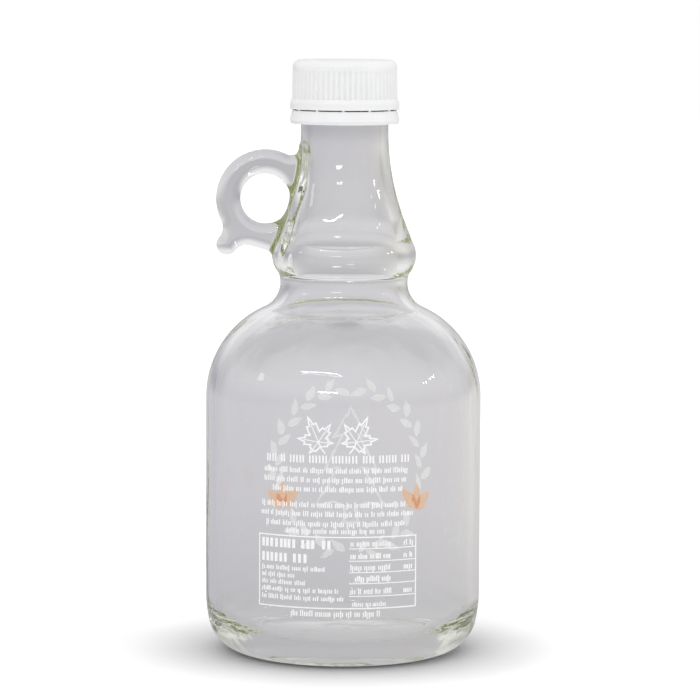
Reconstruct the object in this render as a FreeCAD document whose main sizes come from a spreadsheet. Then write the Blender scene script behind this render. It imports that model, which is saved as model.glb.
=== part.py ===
"""A clear glass syrup jug of half a litre with a finger loop and thumb spur pressed on its neck,
shut by a white screw cap with a tamper band.

Millimetres, +Z up. The origin is on the jug's axis, in the plane that the jug stands on. The finger
loop lies in the XZ plane on the -X side, and the front of the jug faces -Y.
"""
import FreeCAD, Part
import math
import os

import Sketcher

# Every size that can be set by itself: name, value, what it is.
SIZES = [
    # the glass: body
    ("body_dia", 86.0, "outside of the straight body"),
    ("wall", 3.0, "glass of the body and shoulder"),
    ("heel_inset", 12.6, "outer edge of the bearing ring, in from the side of the body"),
    ("bearing_width", 3.6, "flat ring that the jug stands on"),
    ("heel_radius", 11.8, "rounding of the heel above the bearing ring"),
    ("heel_sweep", 40.0, "larger arc from the heel into the straight body"),
    ("push_up", 2.4, "rise of the underside at the axis"),
    ("base_thick", 4.8, "glass of the base at the axis"),
    ("floor_crown", 120.0, "radius of the inside floor, which is crowned"),
    ("floor_corner", 13.0, "inside corner between floor and wall"),
    ("shoulder_radius", 30.5, "convex arc of the shoulder"),
    ("waist_height", 115.65, "narrowest place between shoulder and collar"),
    ("waist_step", 6.25, "how far the waist stands out from the straight neck above it"),
    ("waist_radius", 8.6, "hollow arc of the waist"),
    # the glass: collar, flared neck and finish
    ("collar_rise", 8.45, "waist to the widest place of the collar ring"),
    ("collar_step", 8.85, "how far the collar ring stands out from the straight neck"),
    ("collar_radius", 8.5, "bulge of the collar ring"),
    ("crease_radius", 1.2, "rounding of the creases below and above the collar ring"),
    ("crease_rise", 4.2, "collar's widest place to the crease above it"),
    ("flare_slope", 21.0, "lean of the neck's foot from upright, in degrees"),
    ("flare_radius", 78.6, "hollow arc from there to the straight neck"),
    ("neck_dia", 27.3, "outside of the straight neck"),
    ("neck_length", 3.2, "straight neck below the bead"),
    ("bead_step", 1.3, "how far the bead that holds the tamper band stands out from the neck"),
    ("bead_land", 1.0, "straight side of the bead"),
    ("bead_bevel", 45.0, "slope from the bead in to the finish, in degrees from level"),
    ("finish_step", 0.45, "how far the glass inside the cap stands out from the neck"),
    ("finish_height", 17.05, "underside of the bead to the rim"),
    ("rim_round", 1.1, "rounding of the rim, inside and out"),
    ("neck_wall", 2.9, "glass of the neck"),
    ("bore_length", 25.0, "rim to the place where the bore begins to widen"),
    ("bore_flare", 70.0, "hollow arc below the bore"),
    ("throat_radius", 45.0, "bulge of the inside behind the collar ring"),
    # the glass: finger loop and thumb spur
    ("loop_hole", 15.6, "inside of the finger loop"),
    ("loop_web", 3.15, "straight neck to the hole, measured from the neck's side"),
    ("loop_rise", 17.55, "collar's widest place to the middle of the hole"),
    ("loop_depth", 7.5, "bar of the loop, measured in the plane of the loop"),
    ("loop_width", 8.6, "bar of the loop, measured across that plane"),
    ("loop_round", 2.9, "rounding of the bar's edges"),
    ("top_web", 3.0, "hollow arc where the loop's top grows out of the neck"),
    ("foot_slope", 16.0, "fall of the loop's underside towards the collar, in degrees"),
    ("spur_turn", 230.0, "direction of the spur from the middle of the hole, in degrees from +X"),
    ("spur_step", 3.4, "how far the middle of the spur's round tip lies outside the loop's rim"),
    ("spur_tip", 3.2, "radius of that tip"),
    ("spur_blend", 5.0, "hollow arcs between the spur and the loop"),
    ("root_round", 1.0, "hollow rounding where the loop meets the neck and collar"),
    ("root_depth", 5.0, "how far the loop's slab runs on inside the neck's side, to fuse with it"),
    # the cap
    ("cap_top", 1.6, "top plate of the cap"),
    ("cap_play", 0.2, "gap all round between the bead and the inside of the cap"),
    ("cap_wall", 1.2, "skirt of the cap at the slit"),
    ("cap_draft", 1.2, "taper of the skirt, in degrees"),
    ("cap_corner", 2.2, "rounding of the cap's upper edge"),
    ("flange_step", 0.55, "how far the smooth flange stands out from the skirt"),
    ("flange_height", 1.95, "height of that flange"),
    ("flange_slope", 1.3, "height of the slope from the skirt to the flange"),
    ("rib_count", 60, "grip ribs round the cap"),
    ("rib_gap_radius", 0.55, "round bottom of the grooves between the ribs"),
    ("rib_gap_depth", 0.42, "depth of those grooves at the foot of the skirt"),
    ("rib_top", 3.3, "top of the cap to the upper end of the ribs"),
    # the tamper band, moulded in one with the cap
    ("slit", 0.4, "slit between skirt and tamper band"),
    ("bridge_count", 12, "bridges across the slit"),
    ("bridge_turn", 3.0, "breadth of a bridge, in degrees"),
    ("band_height", 4.1, "tamper band"),
    ("band_step", 0.1, "how far the band's upper edge lies inside the skirt's foot"),
    ("band_flare", 0.75, "how far the band widens towards its foot"),
    ("band_foot", 1.1, "height of the band's widest place over its lower edge"),
    ("band_chamfer", 0.25, "how far the band draws in again below that place"),
    ("lip_play", 0.55, "gap all round between the band's inner lip and the neck"),
    ("lip_height", 0.9, "height of that lip"),
    ("lip_gap", 0.15, "play between the lip and the underside of the bead"),
]

# What follows from those sizes: name, formula over the names above and before it.
DERIVED = [
    ("body_radius", "body_dia / 2"),
    ("bearing_outer", "body_radius - heel_inset"),
    ("bearing_inner", "bearing_outer - bearing_width"),
    ("floor_height", "push_up + base_thick"),
    ("inner_radius", "body_radius - wall"),
    ("inner_shoulder", "shoulder_radius - wall"),
    ("neck_radius", "neck_dia / 2"),
    ("waist_centre", "neck_radius + waist_step + waist_radius"),
    ("inner_waist", "waist_radius + wall"),
    ("collar_height", "waist_height + collar_rise"),
    ("collar_centre", "neck_radius + collar_step - collar_radius"),
    ("crease_height", "collar_height + crease_rise"),
    ("crease_offset", "collar_centre + sqrt(collar_radius ^ 2 - crease_rise ^ 2)"),
    ("flare_centre", "neck_radius + flare_radius"),
    ("flare_end", "flare_centre - flare_radius * cos(flare_slope * 1deg)"),
    ("flank_rise", "(crease_offset - flare_end) / tan(flare_slope * 1deg)"),
    ("flare_height", "crease_height + flank_rise + flare_radius * sin(flare_slope * 1deg)"),
    ("bead_height", "flare_height + neck_length"),
    ("bead_radius", "neck_radius + bead_step"),
    ("finish_radius", "neck_radius + finish_step"),
    ("rim_height", "bead_height + finish_height"),
    ("bore_radius", "neck_radius - neck_wall"),
    ("bore_end", "rim_height - bore_length"),
    ("bore_centre", "bore_radius + bore_flare"),
    ("mouth_top", "rim_height + rim_round"),
    ("hole_radius", "loop_hole / 2"),
    ("loop_radius", "hole_radius + loop_depth"),
    ("loop_offset", "neck_radius + loop_web + hole_radius"),
    ("loop_height", "collar_height + loop_rise"),
    ("spur_reach", "loop_radius + spur_step"),
    ("root_radius", "neck_radius - root_depth"),
    ("cap_bore", "bead_radius + cap_play"),
    ("cap_foot", "cap_bore + cap_wall"),
    ("cap_height", "rim_height + cap_top"),
    ("flange_radius", "cap_foot + flange_step"),
    ("lip_radius", "neck_radius + lip_play"),
    ("lip_top", "bead_height - lip_gap"),
    ("band_base", "lip_top - lip_height"),
    ("band_top", "band_base + band_height"),
    ("band_crest", "band_base + band_foot"),
    ("band_shoulder", "cap_foot - band_step"),
    ("band_widest", "band_shoulder + band_flare"),
    ("band_rim", "band_widest - band_chamfer"),
    ("slit_top", "band_top + slit"),
    ("flange_top", "slit_top + flange_height"),
    ("rib_base", "flange_top + flange_slope"),
    ("rib_length", "cap_height - rib_top - rib_base"),
    ("rib_centre", "cap_foot + rib_gap_radius - rib_gap_depth"),
    ("slit_turn", "360 / bridge_count - bridge_turn"),
]

FULL_TURN = 360.0
UPRIGHT = FreeCAD.Vector(0, 0, 1)
CENTRE = 3  # a circle's middle, as a sketch counts its points
TINY = 1e-6

doc = FreeCAD.newDocument("SyrupJug")


def make_sizes():
    """The spreadsheet of sizes, and the set of values worked out from them."""
    sheet = doc.addObject("Spreadsheet::Sheet", "Sizes")
    for row, (name, value, note) in enumerate(SIZES, start=1):
        sheet.set(f"A{row}", name)
        sheet.set(f"B{row}", str(value))
        sheet.setAlias(f"B{row}", name)
        sheet.set(f"C{row}", note)
    doc.recompute()
    derived = doc.addObject("App::VarSet", "Derived")
    for name, formula in DERIVED:
        derived.addProperty("App::PropertyFloat", name, "Derived")
        derived.setExpression(name, in_full(formula))
    doc.recompute()
    return sheet, derived


def in_full(formula):
    """The formula with each name written as the cell or value that holds it."""
    homes = {name: "Sizes" for name, _, _ in SIZES}
    homes.update({name: "Derived" for name, _ in DERIVED})
    word = ""
    text = ""
    for letter in formula + " ":
        if letter.isalnum() or letter == "_":
            word += letter
            continue
        text += f"{homes[word]}.{word}" if word in homes else word
        text += letter
        word = ""
    return text.strip()


sizes_sheet, derived_set = make_sizes()


def size(name):
    """The present value of a size or of a derived value."""
    if name in derived_set.PropertiesList:
        return float(getattr(derived_set, name))
    return float(sizes_sheet.get(name))


def polar(centre, radius, degrees):
    turn = math.radians(degrees)
    return (centre[0] + radius * math.cos(turn), centre[1] + radius * math.sin(turn))


def bearing(origin, target):
    """Direction from one point to another, in degrees from +X."""
    return math.degrees(math.atan2(target[1] - origin[1], target[0] - origin[0]))


def meet(centre_a, radius_a, centre_b, radius_b, side):
    """Where two circles cross. side is +1 for the crossing on the left of the way from a to b."""
    gap = math.dist(centre_a, centre_b)
    along = (gap ** 2 + radius_a ** 2 - radius_b ** 2) / (2 * gap)
    across = math.sqrt(radius_a ** 2 - along ** 2)
    heading = bearing(centre_a, centre_b)
    return polar(polar(centre_a, along, heading), side * across, heading + 90)


class Outline:
    """A closed sketch outline of lines and arcs laid end to end, drawn where its rules put it."""

    def __init__(self, sketch):
        self.sketch = sketch
        self.pieces = []  # geometry number, its first end and its last end

    def _add(self, geometry, first, last, smooth):
        number = self.sketch.addGeometry(geometry, False)
        if self.pieces:
            before, _, joint = self.pieces[-1]
            self.rule("Tangent" if smooth else "Coincident", before, joint, number, first)
        self.pieces.append((number, first, last))
        return number

    def line(self, start, end, smooth=False):
        segment = Part.LineSegment(FreeCAD.Vector(*start, 0), FreeCAD.Vector(*end, 0))
        return self._add(segment, 1, 2, smooth)

    def arc(self, centre, radius, begin, end, smooth=False):
        """begin and end are in degrees, and an end below begin makes the arc run clockwise."""
        low, high = sorted((math.radians(begin), math.radians(end)))
        circle = Part.Circle(FreeCAD.Vector(*centre, 0), UPRIGHT, radius)
        ends = (2, 1) if end < begin else (1, 2)
        return self._add(Part.ArcOfCircle(circle, low, high), *ends, smooth)

    def close(self, smooth=False):
        number, _, last = self.pieces[-1]
        first_number, first, _ = self.pieces[0]
        self.rule("Tangent" if smooth else "Coincident", number, last, first_number, first)

    def rule(self, *words):
        self.sketch.addConstraint(Sketcher.Constraint(*words))

    def first(self, number):
        return self.pieces[number][1]

    def last(self, number):
        return self.pieces[number][2]

    def upright(self, *numbers):
        for number in numbers:
            self.rule("Vertical", number)

    def level(self, *numbers):
        for number in numbers:
            self.rule("Horizontal", number)

    def radius(self, number, name):
        self._size(name, "Radius", number)

    def across(self, number, point, name, sign=1):
        """Ties a point's distance from the upright axis to a size. sign is -1 on the left of it."""
        ends = (-1, 1, number, point) if sign > 0 else (number, point, -1, 1)
        self._size(name, "DistanceX", *ends)

    def up(self, number, point, name):
        """Ties a point's height over the level axis to a size."""
        self._size(name, "DistanceY", -1, 1, number, point)

    def on_axis(self, number, point):
        self.rule("PointOnObject", number, point, -2)

    def heading(self, line, degrees, formula):
        """Ties the direction of a line, from +X, to a formula in degrees."""
        number = self.sketch.addConstraint(
            Sketcher.Constraint("Angle", line, math.radians(degrees))
        )
        self.sketch.setExpression(f"Constraints[{number}]", f"({in_full(formula)}) * 1deg")

    def length(self, line, name, kind="Distance"):
        self._size(name, kind, line, 1, line, 2)

    def _size(self, name, kind, *where):
        number = self.sketch.addConstraint(Sketcher.Constraint(kind, *where, size(name)))
        self.sketch.setExpression(f"Constraints[{number}]", in_full(name))


def new_sketch(body, name, role, offset=None):
    """A sketch on one of the body's own base planes, raised by a size if offset names one."""
    sketch = body.newObject("Sketcher::SketchObject", name)
    plane = next(o for o in body.Origin.OriginFeatures if o.Role == role)
    sketch.AttachmentSupport = [(plane, "")]
    sketch.MapMode = "FlatFace"
    if offset:
        sketch.setExpression("AttachmentOffset.Base.z", in_full(offset))
    return sketch


def revolve(body, kind, name, sketch):
    """A Revolution or Groove of the sketch round its own upright axis."""
    feature = body.newObject(f"PartDesign::{kind}", name)
    feature.Profile = sketch
    feature.ReferenceAxis = (sketch, ["V_Axis"])
    feature.Angle = FULL_TURN
    sketch.Visibility = False
    doc.recompute()
    return feature


def edges_where(shape, test):
    """Names of the shape's edges that pass the test."""
    return [f"Edge{n}" for n, edge in enumerate(shape.Edges, start=1) if test(edge)]


# ---------------------------------------------------------------- the glass


def draw_loop(sketch):
    """Side view of the finger loop and its spur. Both roots run on into the neck."""
    middle = (-size("loop_offset"), size("loop_height"))
    ring = size("loop_radius")
    tip = polar(middle, size("spur_reach"), size("spur_turn"))
    tip_radius = size("spur_tip")
    blend = size("spur_blend")
    above = meet(middle, ring + blend, tip, tip_radius + blend, -1)

    # The underside is a line that grazes the ring. The spur's lower hollow runs into it.
    fall = size("foot_slope")
    graze = polar(middle, ring + blend, -90 - fall)
    along = math.dist(middle, tip) * math.cos(math.radians(bearing(middle, tip) + fall))
    out = math.dist(middle, tip) * math.cos(math.radians(bearing(middle, tip) + 90 + fall))
    reach = math.sqrt((tip_radius + blend) ** 2 - (ring + blend - out) ** 2)
    below = polar(graze, along + reach, -fall)
    foot = polar(below, blend, 90 - fall)
    root_x = -size("root_radius")
    foot_end = (root_x, foot[1] - (root_x - foot[0]) * math.tan(math.radians(fall)))

    web = size("top_web")
    neck_x = -size("neck_radius")
    web_x = neck_x - web
    web_middle = (web_x, middle[1] + math.sqrt((ring + web) ** 2 - (web_x - middle[0]) ** 2))

    shape = Outline(sketch)
    lid = shape.line((root_x, web_middle[1]), (neck_x, web_middle[1]))
    top = shape.arc(web_middle, web, 0, bearing(web_middle, middle))
    ring_end = bearing(middle, above) % FULL_TURN
    left = shape.arc(middle, ring, bearing(middle, web_middle), ring_end, smooth=True)
    upper = shape.arc(above, blend, bearing(above, middle), bearing(above, tip), smooth=True)
    tip_end = bearing(tip, below) % FULL_TURN
    spur = shape.arc(tip, tip_radius, bearing(tip, above) % FULL_TURN, tip_end, smooth=True)
    lower = shape.arc(below, blend, bearing(below, tip), bearing(below, foot), smooth=True)
    under = shape.line(foot, foot_end, smooth=True)
    back = shape.line(foot_end, (root_x, web_middle[1]))
    shape.close()
    circle = Part.Circle(FreeCAD.Vector(*middle, 0), UPRIGHT, size("hole_radius"))
    hole = sketch.addGeometry(circle, False)
    reach_line = Part.LineSegment(FreeCAD.Vector(*middle, 0), FreeCAD.Vector(*tip, 0))
    aim = sketch.addGeometry(reach_line, True)

    shape.level(lid)
    shape.upright(back)
    shape.across(lid, 1, "root_radius", -1)
    shape.across(lid, 2, "neck_radius", -1)
    shape.rule("Horizontal", top, CENTRE, top, shape.first(top))
    shape.radius(top, "top_web")
    shape.radius(left, "loop_radius")
    shape.across(left, CENTRE, "loop_offset", -1)
    shape.up(left, CENTRE, "loop_height")
    shape.radius(upper, "spur_blend")
    shape.radius(spur, "spur_tip")
    shape.radius(lower, "spur_blend")
    shape.rule("Tangent", under, left)
    shape.heading(under, -fall, "-foot_slope")
    shape.rule("Coincident", hole, CENTRE, left, CENTRE)
    shape.radius(hole, "hole_radius")
    shape.rule("Coincident", aim, 1, left, CENTRE)
    shape.rule("Coincident", aim, 2, spur, CENTRE)
    shape.length(aim, "spur_reach")
    shape.heading(aim, size("spur_turn"), "spur_turn")


def draw_glass_outside(sketch):
    """Half section of the jug's outside, from the underside up to the rim, filled to the axis."""
    rise = size("push_up")
    inner_foot = (size("bearing_inner"), 0)
    outer_foot = (size("bearing_outer"), 0)
    dome_radius = (rise ** 2 + inner_foot[0] ** 2) / (2 * rise)
    dome = (0, rise - dome_radius)
    side = size("body_radius")
    heel_radius = size("heel_radius")
    sweep_radius = size("heel_sweep")
    heel = (outer_foot[0], heel_radius)
    sweep_x = side - sweep_radius
    sweep_rise = math.sqrt((sweep_radius - heel_radius) ** 2 - (heel[0] - sweep_x) ** 2)
    sweep = (sweep_x, heel[1] + sweep_rise)
    heel_end = bearing(sweep, heel)

    waist = (size("waist_centre"), size("waist_height"))
    waist_radius = size("waist_radius")
    shoulder_radius = size("shoulder_radius")
    shoulder_x = side - shoulder_radius
    apart = shoulder_radius + waist_radius
    shoulder = (shoulder_x, waist[1] - math.sqrt(apart ** 2 - (waist[0] - shoulder_x) ** 2))
    shoulder_end = bearing(shoulder, waist)

    collar = (size("collar_centre"), size("collar_height"))
    collar_radius = size("collar_radius")
    crease = size("crease_radius")
    low_crease = meet(waist, waist_radius - crease, collar, collar_radius + crease, 1)
    flare = (size("flare_centre"), size("flare_height"))
    flare_radius = size("flare_radius")
    lean = size("flare_slope")
    flare_foot = polar(flare, flare_radius, 180 + lean)
    # The upper crease's middle lies its own radius outside the flank, on the collar's far circle.
    flank = 90 + lean
    foot_along = math.cos(math.radians(bearing(collar, flare_foot) - flank))
    foot_across = math.sin(math.radians(bearing(collar, flare_foot) - flank))
    beside = -math.dist(collar, flare_foot) * foot_across + crease
    ahead = math.sqrt((collar_radius + crease) ** 2 - beside ** 2)
    high_crease = polar(polar(collar, beside, flank - 90), ahead, flank)
    flank_foot = polar(high_crease, crease, 180 + lean)

    neck = size("neck_radius")
    bead_z = size("bead_height")
    bead = size("bead_radius")
    land_z = bead_z + size("bead_land")
    bevel = size("bead_bevel")
    finish = size("finish_radius")
    slope_z = land_z + (bead - finish) * math.tan(math.radians(bevel))
    rim = size("rim_height")
    rounding = size("rim_round")

    shape = Outline(sketch)
    under = shape.arc(dome, dome_radius, 90, bearing(dome, inner_foot))
    ring = shape.line(inner_foot, outer_foot)
    heel_arc = shape.arc(heel, heel_radius, -90, heel_end, smooth=True)
    sweep_arc = shape.arc(sweep, sweep_radius, heel_end, 0, smooth=True)
    wall = shape.line((side, sweep[1]), (side, shoulder[1]), smooth=True)
    shoulder_arc = shape.arc(shoulder, shoulder_radius, 0, shoulder_end, smooth=True)
    waist_end = bearing(waist, low_crease) % FULL_TURN
    waist_arc = shape.arc(waist, waist_radius, shoulder_end + 180, waist_end, smooth=True)
    crease_end = bearing(low_crease, collar) % FULL_TURN
    low_arc = shape.arc(low_crease, crease, waist_end, crease_end, smooth=True)
    collar_start = bearing(collar, low_crease)
    collar_end = bearing(collar, high_crease)
    collar_arc = shape.arc(collar, collar_radius, collar_start, collar_end, smooth=True)
    high_arc = shape.arc(high_crease, crease, collar_end + 180, 180 + lean, smooth=True)
    flank_line = shape.line(flank_foot, flare_foot, smooth=True)
    flare_arc = shape.arc(flare, flare_radius, 180 + lean, 180, smooth=True)
    neck_line = shape.line((neck, flare[1]), (neck, bead_z), smooth=True)
    ledge = shape.line((neck, bead_z), (bead, bead_z))
    land = shape.line((bead, bead_z), (bead, land_z))
    slope = shape.line((bead, land_z), (finish, slope_z))
    finish_wall = shape.line((finish, slope_z), (finish, rim - rounding))
    rim_arc = shape.arc((finish - rounding, rim - rounding), rounding, 0, 90, smooth=True)
    rim_line = shape.line((finish - rounding, rim), (0, rim), smooth=True)
    shape.line((0, rim), (0, rise))
    shape.close()

    shape.on_axis(under, shape.first(under))
    shape.on_axis(under, CENTRE)
    shape.up(under, shape.first(under), "push_up")
    shape.rule("PointOnObject", ring, 1, -1)
    shape.level(ring, ledge)
    shape.across(ring, 1, "bearing_inner")
    shape.across(ring, 2, "bearing_outer")
    shape.radius(heel_arc, "heel_radius")
    shape.radius(sweep_arc, "heel_sweep")
    shape.upright(wall, land, finish_wall)
    shape.across(wall, 2, "body_radius")
    shape.radius(shoulder_arc, "shoulder_radius")
    shape.radius(waist_arc, "waist_radius")
    shape.across(waist_arc, CENTRE, "waist_centre")
    shape.up(waist_arc, CENTRE, "waist_height")
    shape.radius(low_arc, "crease_radius")
    shape.radius(collar_arc, "collar_radius")
    shape.across(collar_arc, CENTRE, "collar_centre")
    shape.up(collar_arc, CENTRE, "collar_height")
    shape.radius(high_arc, "crease_radius")
    shape.heading(flank_line, flank, "90 + flare_slope")
    shape.radius(flare_arc, "flare_radius")
    shape.across(flare_arc, CENTRE, "flare_centre")
    shape.up(flare_arc, CENTRE, "flare_height")
    shape.upright(neck_line)
    shape.up(neck_line, 2, "bead_height")
    shape.across(land, 1, "bead_radius")
    shape.length(land, "bead_land")
    shape.heading(slope, 180 - bevel, "180 - bead_bevel")
    shape.across(finish_wall, 1, "finish_radius")
    shape.radius(rim_arc, "rim_round")
    shape.level(rim_line)
    shape.on_axis(rim_line, 2)
    shape.up(rim_line, 2, "rim_height")


def draw_glass_inside(sketch):
    """Half section of the jug's inside, from the crowned floor out through the mouth."""
    floor_z = size("floor_height")
    crown = size("floor_crown")
    floor = (0, floor_z - crown)
    corner_radius = size("floor_corner")
    wall_x = size("inner_radius")
    corner_x = wall_x - corner_radius
    corner = (corner_x, floor[1] + math.sqrt((crown + corner_radius) ** 2 - corner_x ** 2))
    floor_end = bearing(floor, corner)

    waist = (size("waist_centre"), size("waist_height"))
    waist_radius = size("inner_waist")
    shoulder_radius = size("inner_shoulder")
    shoulder_x = wall_x - shoulder_radius
    apart = shoulder_radius + waist_radius
    shoulder = (shoulder_x, waist[1] - math.sqrt(apart ** 2 - (waist[0] - shoulder_x) ** 2))
    shoulder_end = bearing(shoulder, waist)

    flare = (size("bore_centre"), size("bore_end"))
    flare_radius = size("bore_flare")
    throat_radius = size("throat_radius")
    throat = meet(waist, waist_radius + throat_radius, flare, flare_radius + throat_radius, 1)
    waist_end = bearing(waist, throat) % FULL_TURN
    throat_end = bearing(throat, flare)

    bore = size("bore_radius")
    rim = size("rim_height")
    rounding = size("rim_round")
    mouth = bore + rounding
    top = size("mouth_top")

    shape = Outline(sketch)
    floor_arc = shape.arc(floor, crown, 90, floor_end)
    corner_arc = shape.arc(corner, corner_radius, floor_end - 180, 0, smooth=True)
    wall = shape.line((wall_x, corner[1]), (wall_x, shoulder[1]), smooth=True)
    shoulder_arc = shape.arc(shoulder, shoulder_radius, 0, shoulder_end, smooth=True)
    waist_arc = shape.arc(waist, waist_radius, shoulder_end + 180, waist_end, smooth=True)
    throat_arc = shape.arc(throat, throat_radius, waist_end - 180, throat_end, smooth=True)
    flare_arc = shape.arc(flare, flare_radius, throat_end + 180, 180, smooth=True)
    bore_line = shape.line((bore, flare[1]), (bore, rim - rounding), smooth=True)
    mouth_arc = shape.arc((mouth, rim - rounding), rounding, 180, 90, smooth=True)
    mouth_line = shape.line((mouth, rim), (mouth, top))
    top_line = shape.line((mouth, top), (0, top))
    shape.line((0, top), (0, floor_z))
    shape.close()

    shape.on_axis(floor_arc, shape.first(floor_arc))
    shape.on_axis(floor_arc, CENTRE)
    shape.up(floor_arc, shape.first(floor_arc), "floor_height")
    shape.radius(floor_arc, "floor_crown")
    shape.radius(corner_arc, "floor_corner")
    shape.upright(wall, bore_line, mouth_line)
    shape.across(wall, 1, "inner_radius")
    shape.radius(shoulder_arc, "inner_shoulder")
    shape.radius(waist_arc, "inner_waist")
    shape.across(waist_arc, CENTRE, "waist_centre")
    shape.up(waist_arc, CENTRE, "waist_height")
    shape.radius(throat_arc, "throat_radius")
    shape.radius(flare_arc, "bore_flare")
    shape.across(flare_arc, CENTRE, "bore_centre")
    shape.up(flare_arc, CENTRE, "bore_end")
    shape.radius(mouth_arc, "rim_round")
    shape.up(mouth_arc, shape.last(mouth_arc), "rim_height")
    shape.rule("Vertical", mouth_arc, CENTRE, mouth_arc, shape.last(mouth_arc))
    shape.level(top_line)
    shape.on_axis(top_line, 2)
    shape.up(top_line, 2, "mouth_top")


def make_jug():
    """Loop and spur as a rounded slab, the jug's outside turned over their roots, then the hollow."""
    body = doc.addObject("PartDesign::Body", "Jug")
    body.Label = "jug"

    loop_sketch = new_sketch(body, "LoopOutline", "XZ_Plane")
    draw_loop(loop_sketch)
    loop = body.newObject("PartDesign::Pad", "Loop")
    loop.Profile = loop_sketch
    loop.setExpression("Length", in_full("loop_width"))
    loop.Midplane = True
    loop_sketch.Visibility = False
    doc.recompute()

    half = size("loop_width") / 2
    rounded = body.newObject("PartDesign::Fillet", "LoopRounding")
    rounded.Base = (loop, edges_where(loop.Shape, lambda edge: is_loop_rim(edge, half)))
    rounded.setExpression("Radius", in_full("loop_round"))
    doc.recompute()

    outside = new_sketch(body, "GlassOutside", "XZ_Plane")
    draw_glass_outside(outside)
    glass = revolve(body, "Revolution", "Glass", outside)

    roots = body.newObject("PartDesign::Fillet", "LoopRoots")
    roots.Base = (glass, edges_where(glass.Shape, is_loop_root))
    roots.setExpression("Radius", in_full("root_round"))
    doc.recompute()

    inside = new_sketch(body, "GlassInside", "XZ_Plane")
    draw_glass_inside(inside)
    hollow = revolve(body, "Groove", "Hollow", inside)
    check_cut(roots, hollow)
    return body


def is_loop_rim(edge, half):
    """True for the outline's curves and its underside, on either flat of the loop's slab."""
    points = [vertex.Point for vertex in edge.Vertexes]
    if any(abs(abs(point.y) - half) > TINY for point in points):
        return False
    if edge.Curve.TypeId != "Part::GeomLine":
        return True
    start, end = points
    return abs(start.x - end.x) > TINY and abs(start.z - end.z) > TINY


def is_loop_root(edge):
    """True where the loop dips into the turned glass: its only edges that aren't lines or circles."""
    return not edge.Degenerated and edge.Curve.TypeId not in ("Part::GeomLine", "Part::GeomCircle")


def check_cut(before, after):
    """A cut that took nothing away points the wrong way."""
    if after.Shape.Volume >= before.Shape.Volume - TINY:
        raise RuntimeError(f"{after.Name} removed nothing")


# ---------------------------------------------------------------- the cap


def draw_cap(sketch):
    """Half section of the cap and its tamper band, before ribs and slit are cut."""
    top = size("cap_height")
    foot = (size("cap_foot"), size("rib_base"))
    corner_radius = size("cap_corner")
    draft = size("cap_draft")
    corner_z = top - corner_radius
    # The corner's arc ends where its own slope is that of the skirt.
    arc_end_z = corner_z + corner_radius * math.sin(math.radians(draft))
    skirt_x = foot[0] - (arc_end_z - foot[1]) * math.tan(math.radians(draft))
    corner = (skirt_x - corner_radius * math.cos(math.radians(draft)), corner_z)
    flange = size("flange_radius")
    shoulder = size("band_shoulder")
    widest = (size("band_widest"), size("band_crest"))
    base = size("band_base")
    lip = size("lip_radius")
    lip_z = size("lip_top")
    bore = size("cap_bore")
    rim = size("rim_height")
    slit_z = size("slit_top")

    shape = Outline(sketch)
    top_line = shape.line((0, top), (corner[0], top))
    corner_arc = shape.arc(corner, corner_radius, 90, draft, smooth=True)
    skirt = shape.line((skirt_x, arc_end_z), foot, smooth=True)
    slope = shape.line(foot, (flange, size("flange_top")))
    flange_line = shape.line((flange, size("flange_top")), (flange, slit_z))
    ledge = shape.line((flange, slit_z), (shoulder, slit_z))
    bridge = shape.line((shoulder, slit_z), (shoulder, size("band_top")))
    band = shape.line((shoulder, size("band_top")), widest)
    chamfer = shape.line(widest, (size("band_rim"), base))
    underside = shape.line((size("band_rim"), base), (lip, base))
    lip_line = shape.line((lip, base), (lip, lip_z))
    lip_ledge = shape.line((lip, lip_z), (bore, lip_z))
    bore_line = shape.line((bore, lip_z), (bore, rim))
    seat = shape.line((bore, rim), (0, rim))
    shape.line((0, rim), (0, top))
    shape.close()

    shape.level(top_line, ledge, underside, lip_ledge, seat)
    shape.upright(flange_line, bridge, lip_line, bore_line)
    shape.on_axis(top_line, 1)
    shape.up(top_line, 1, "cap_height")
    shape.radius(corner_arc, "cap_corner")
    shape.heading(skirt, draft - 90, "cap_draft - 90")
    shape.across(skirt, 2, "cap_foot")
    shape.up(skirt, 2, "rib_base")
    shape.across(slope, 2, "flange_radius")
    shape.up(slope, 2, "flange_top")
    shape.up(flange_line, 2, "slit_top")
    shape.across(bridge, 1, "band_shoulder")
    shape.up(bridge, 2, "band_top")
    shape.across(band, 2, "band_widest")
    shape.up(band, 2, "band_crest")
    shape.across(chamfer, 2, "band_rim")
    shape.up(chamfer, 2, "band_base")
    shape.across(lip_line, 1, "lip_radius")
    shape.up(lip_line, 2, "lip_top")
    shape.across(bore_line, 1, "cap_bore")
    shape.up(seat, 1, "rim_height")
    shape.on_axis(seat, 2)


def draw_slit(sketch):
    """Section of the slit: a strip that crosses the whole wall between band and skirt."""
    low = size("band_top")
    high = size("slit_top")
    inner = size("lip_radius")
    outer = size("flange_radius")
    shape = Outline(sketch)
    bottom = shape.line((inner, low), (outer, low))
    right = shape.line((outer, low), (outer, high))
    top = shape.line((outer, high), (inner, high))
    left = shape.line((inner, high), (inner, low))
    shape.close()
    shape.level(bottom, top)
    shape.upright(right, left)
    shape.across(bottom, 1, "lip_radius")
    shape.across(bottom, 2, "flange_radius")
    shape.up(bottom, 1, "band_top")
    shape.up(top, 1, "slit_top")


def ring_of(body, name, feature, count_name):
    """The feature repeated evenly round the upright axis."""
    pattern = body.newObject("PartDesign::PolarPattern", name)
    pattern.Originals = [feature]
    z_axis = next(o for o in body.Origin.OriginFeatures if o.Role == "Z_Axis")
    pattern.Axis = (z_axis, [""])
    pattern.Angle = FULL_TURN
    pattern.setExpression("Occurrences", in_full(count_name))
    body.Tip = pattern
    doc.recompute()
    check_cut(feature, pattern)
    return pattern


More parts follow.
